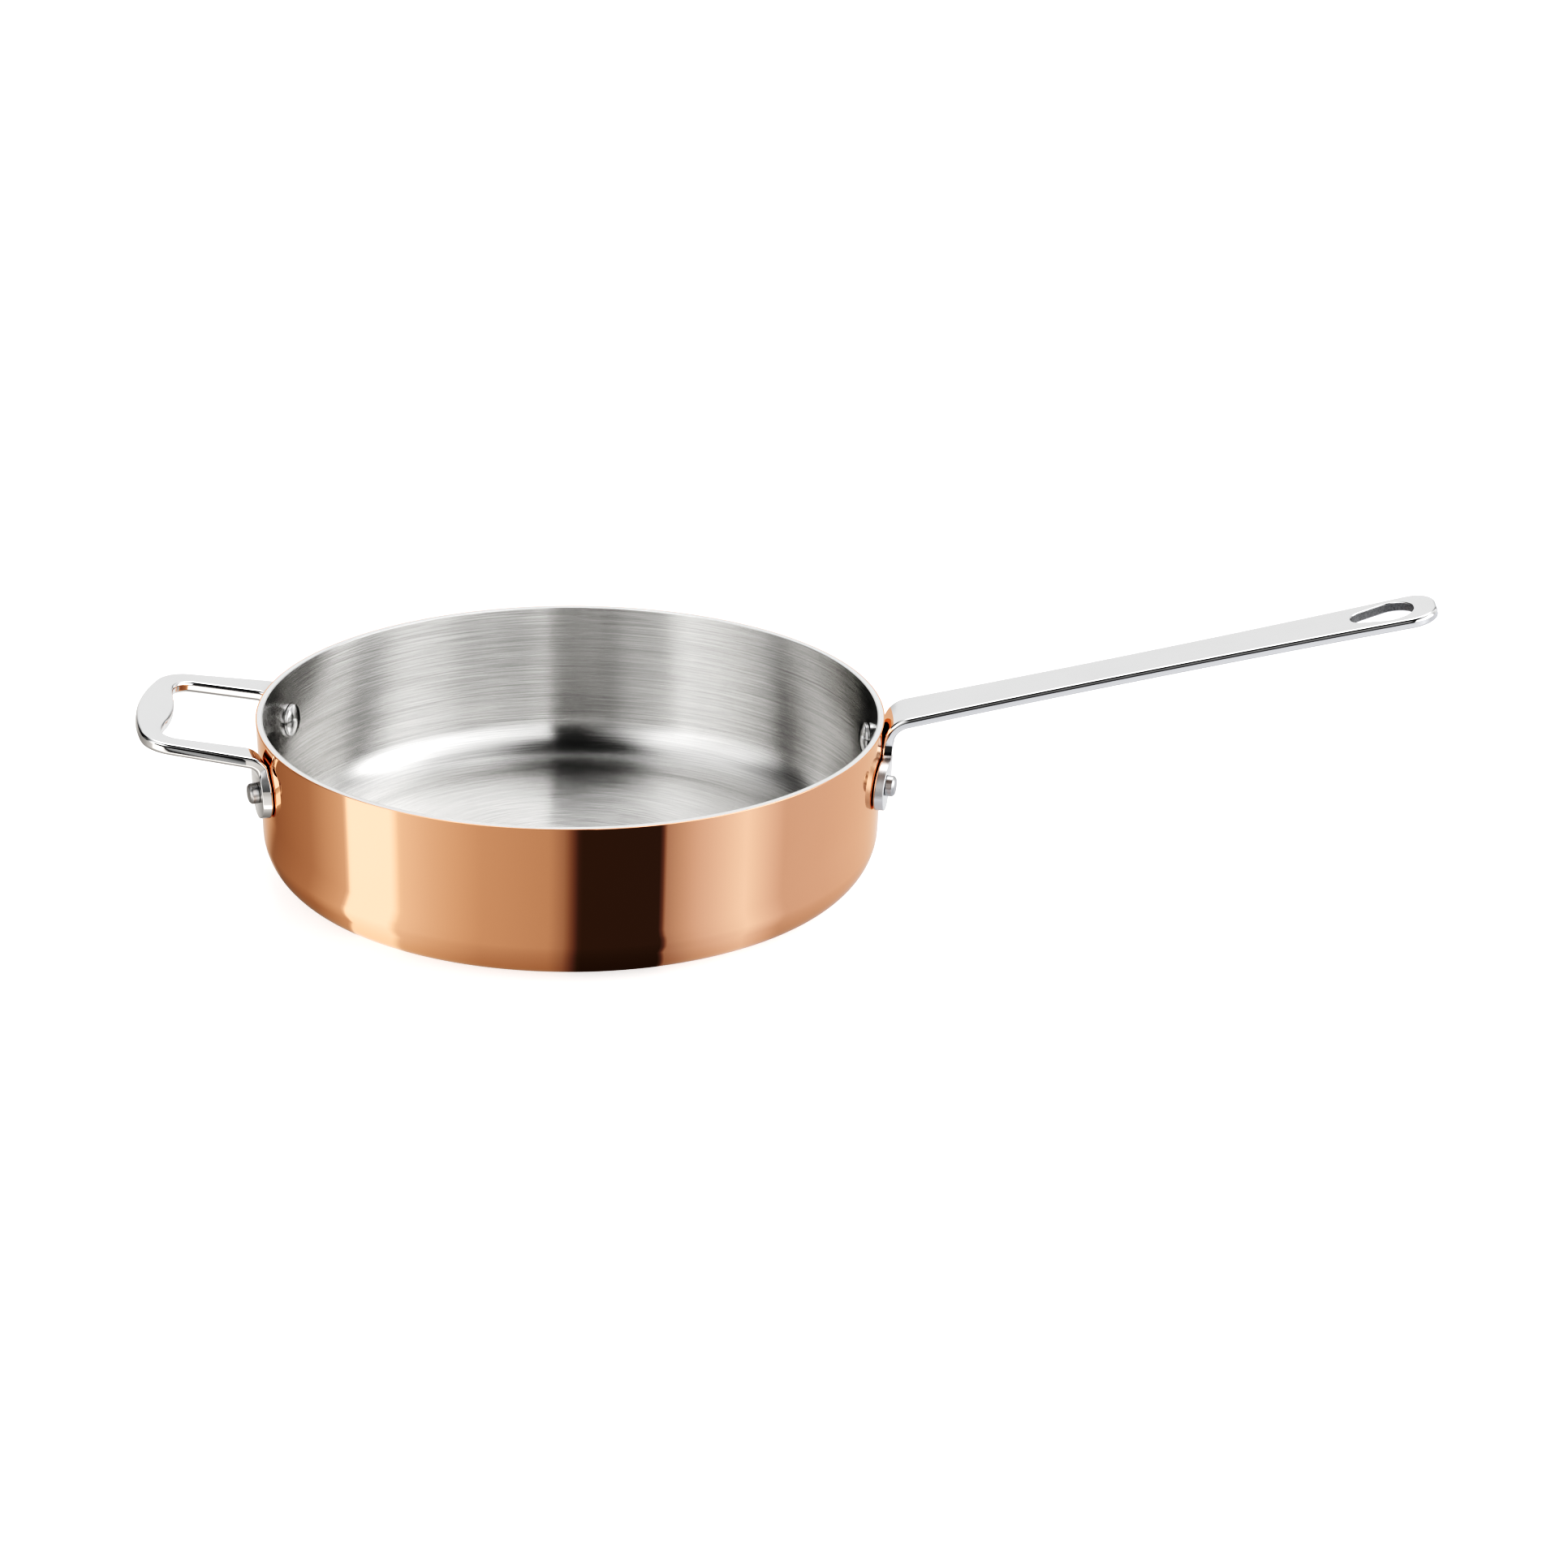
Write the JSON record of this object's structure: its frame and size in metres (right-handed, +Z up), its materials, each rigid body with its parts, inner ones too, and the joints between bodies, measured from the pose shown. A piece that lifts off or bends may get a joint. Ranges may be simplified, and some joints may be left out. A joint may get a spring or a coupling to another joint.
{
  "type": "saute pan",
  "caption": "Straight-sided clad saute pan, copper outside and steel inside, with a long riveted handle that has a hanging slot, and a riveted loop handle opposite.",
  "frame": {"origin": "centre of the base, on the surface the pan stands on", "axes": "+Z up, +X along the long handle away from the pan, the loop handle on -X"},
  "size_m": [0.5485, 0.266, 0.1241],
  "materials": {
    "copper": "mirror-polished copper",
    "aluminium": "turned edge, seen only at the rim",
    "liner_steel": "fine brushing round the axis",
    "handle_steel": "polished cast stainless steel",
    "rivet_steel": "polished heads, satin tails"
  },
  "bodies": {
    "root": {"copper_shell": "copper", "aluminium_core": "aluminium", "steel_liner": "liner_steel", "long_handle": "handle_steel", "loop_handle": "handle_steel", "long_handle_rivet_left": "rivet_steel", "long_handle_rivet_right": "rivet_steel", "loop_handle_rivet_left": "rivet_steel", "loop_handle_rivet_right": "rivet_steel"}
  },
  "joints": []
}
